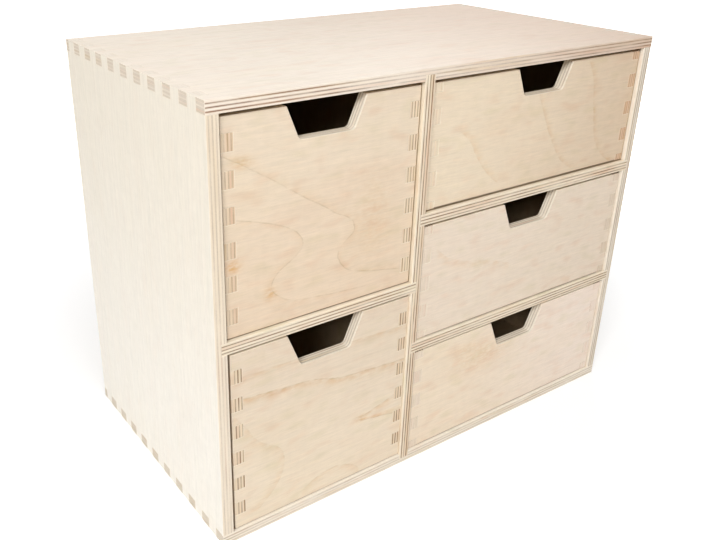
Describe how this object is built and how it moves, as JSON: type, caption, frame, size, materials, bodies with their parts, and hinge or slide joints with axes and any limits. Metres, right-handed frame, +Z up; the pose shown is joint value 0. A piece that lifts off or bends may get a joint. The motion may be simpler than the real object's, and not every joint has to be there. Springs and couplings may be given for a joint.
{
  "type": "desktop drawer chest",
  "caption": "Desktop chest of finger-jointed plywood drawers, tall ones in a narrow left bay and low ones in a wide right bay, each with a finger cut-out.",
  "frame": {"origin": "under the middle of the case, on the surface that it stands on", "axes": "+X to the right as seen from the drawer fronts, +Y to the rear, +Z up"},
  "size_m": [0.426, 0.234, 0.336],
  "materials": {
    "case_board": "bare sanded birch plywood",
    "inner_board": "bare sanded birch plywood",
    "back_sheet": "bare thin birch plywood",
    "front_board": "bare sanded birch plywood with open grain",
    "drawer_board": "bare sanded birch plywood",
    "drawer_bottom_sheet": "bare thin birch plywood"
  },
  "bodies": {
    "case": {"top_panel": "case_board", "bottom_panel": "case_board", "left_side": "case_board", "right_side": "case_board", "divider": "inner_board", "left_shelf": "inner_board", "upper_right_shelf": "inner_board", "lower_right_shelf": "inner_board", "back_panel": "back_sheet"},
    "upper_left_drawer": {"upper_left_drawer_front": "front_board", "upper_left_drawer_back": "drawer_board", "upper_left_drawer_left_side": "drawer_board", "upper_left_drawer_right_side": "drawer_board", "upper_left_drawer_bottom": "drawer_bottom_sheet"},
    "lower_left_drawer": {"lower_left_drawer_front": "front_board", "lower_left_drawer_back": "drawer_board", "lower_left_drawer_left_side": "drawer_board", "lower_left_drawer_right_side": "drawer_board", "lower_left_drawer_bottom": "drawer_bottom_sheet"},
    "upper_right_drawer": {"upper_right_drawer_front": "front_board", "upper_right_drawer_back": "drawer_board", "upper_right_drawer_left_side": "drawer_board", "upper_right_drawer_right_side": "drawer_board", "upper_right_drawer_bottom": "drawer_bottom_sheet"},
    "middle_right_drawer": {"middle_right_drawer_front": "front_board", "middle_right_drawer_back": "drawer_board", "middle_right_drawer_left_side": "drawer_board", "middle_right_drawer_right_side": "drawer_board", "middle_right_drawer_bottom": "drawer_bottom_sheet"},
    "lower_right_drawer": {"lower_right_drawer_front": "front_board", "lower_right_drawer_back": "drawer_board", "lower_right_drawer_left_side": "drawer_board", "lower_right_drawer_right_side": "drawer_board", "lower_right_drawer_bottom": "drawer_bottom_sheet"}
  },
  "joints": [
    {"name": "upper_left_drawer_slide", "type": "slide", "parent": "case", "child": "upper_left_drawer", "axis": [0, -1, 0], "range_m": [0, 0.15]},
    {"name": "lower_left_drawer_slide", "type": "slide", "parent": "case", "child": "lower_left_drawer", "axis": [0, -1, 0], "range_m": [0, 0.15]},
    {"name": "upper_right_drawer_slide", "type": "slide", "parent": "case", "child": "upper_right_drawer", "axis": [0, -1, 0], "range_m": [0, 0.15]},
    {"name": "middle_right_drawer_slide", "type": "slide", "parent": "case", "child": "middle_right_drawer", "axis": [0, -1, 0], "range_m": [0, 0.15]},
    {"name": "lower_right_drawer_slide", "type": "slide", "parent": "case", "child": "lower_right_drawer", "axis": [0, -1, 0], "range_m": [0, 0.15]}
  ]
}
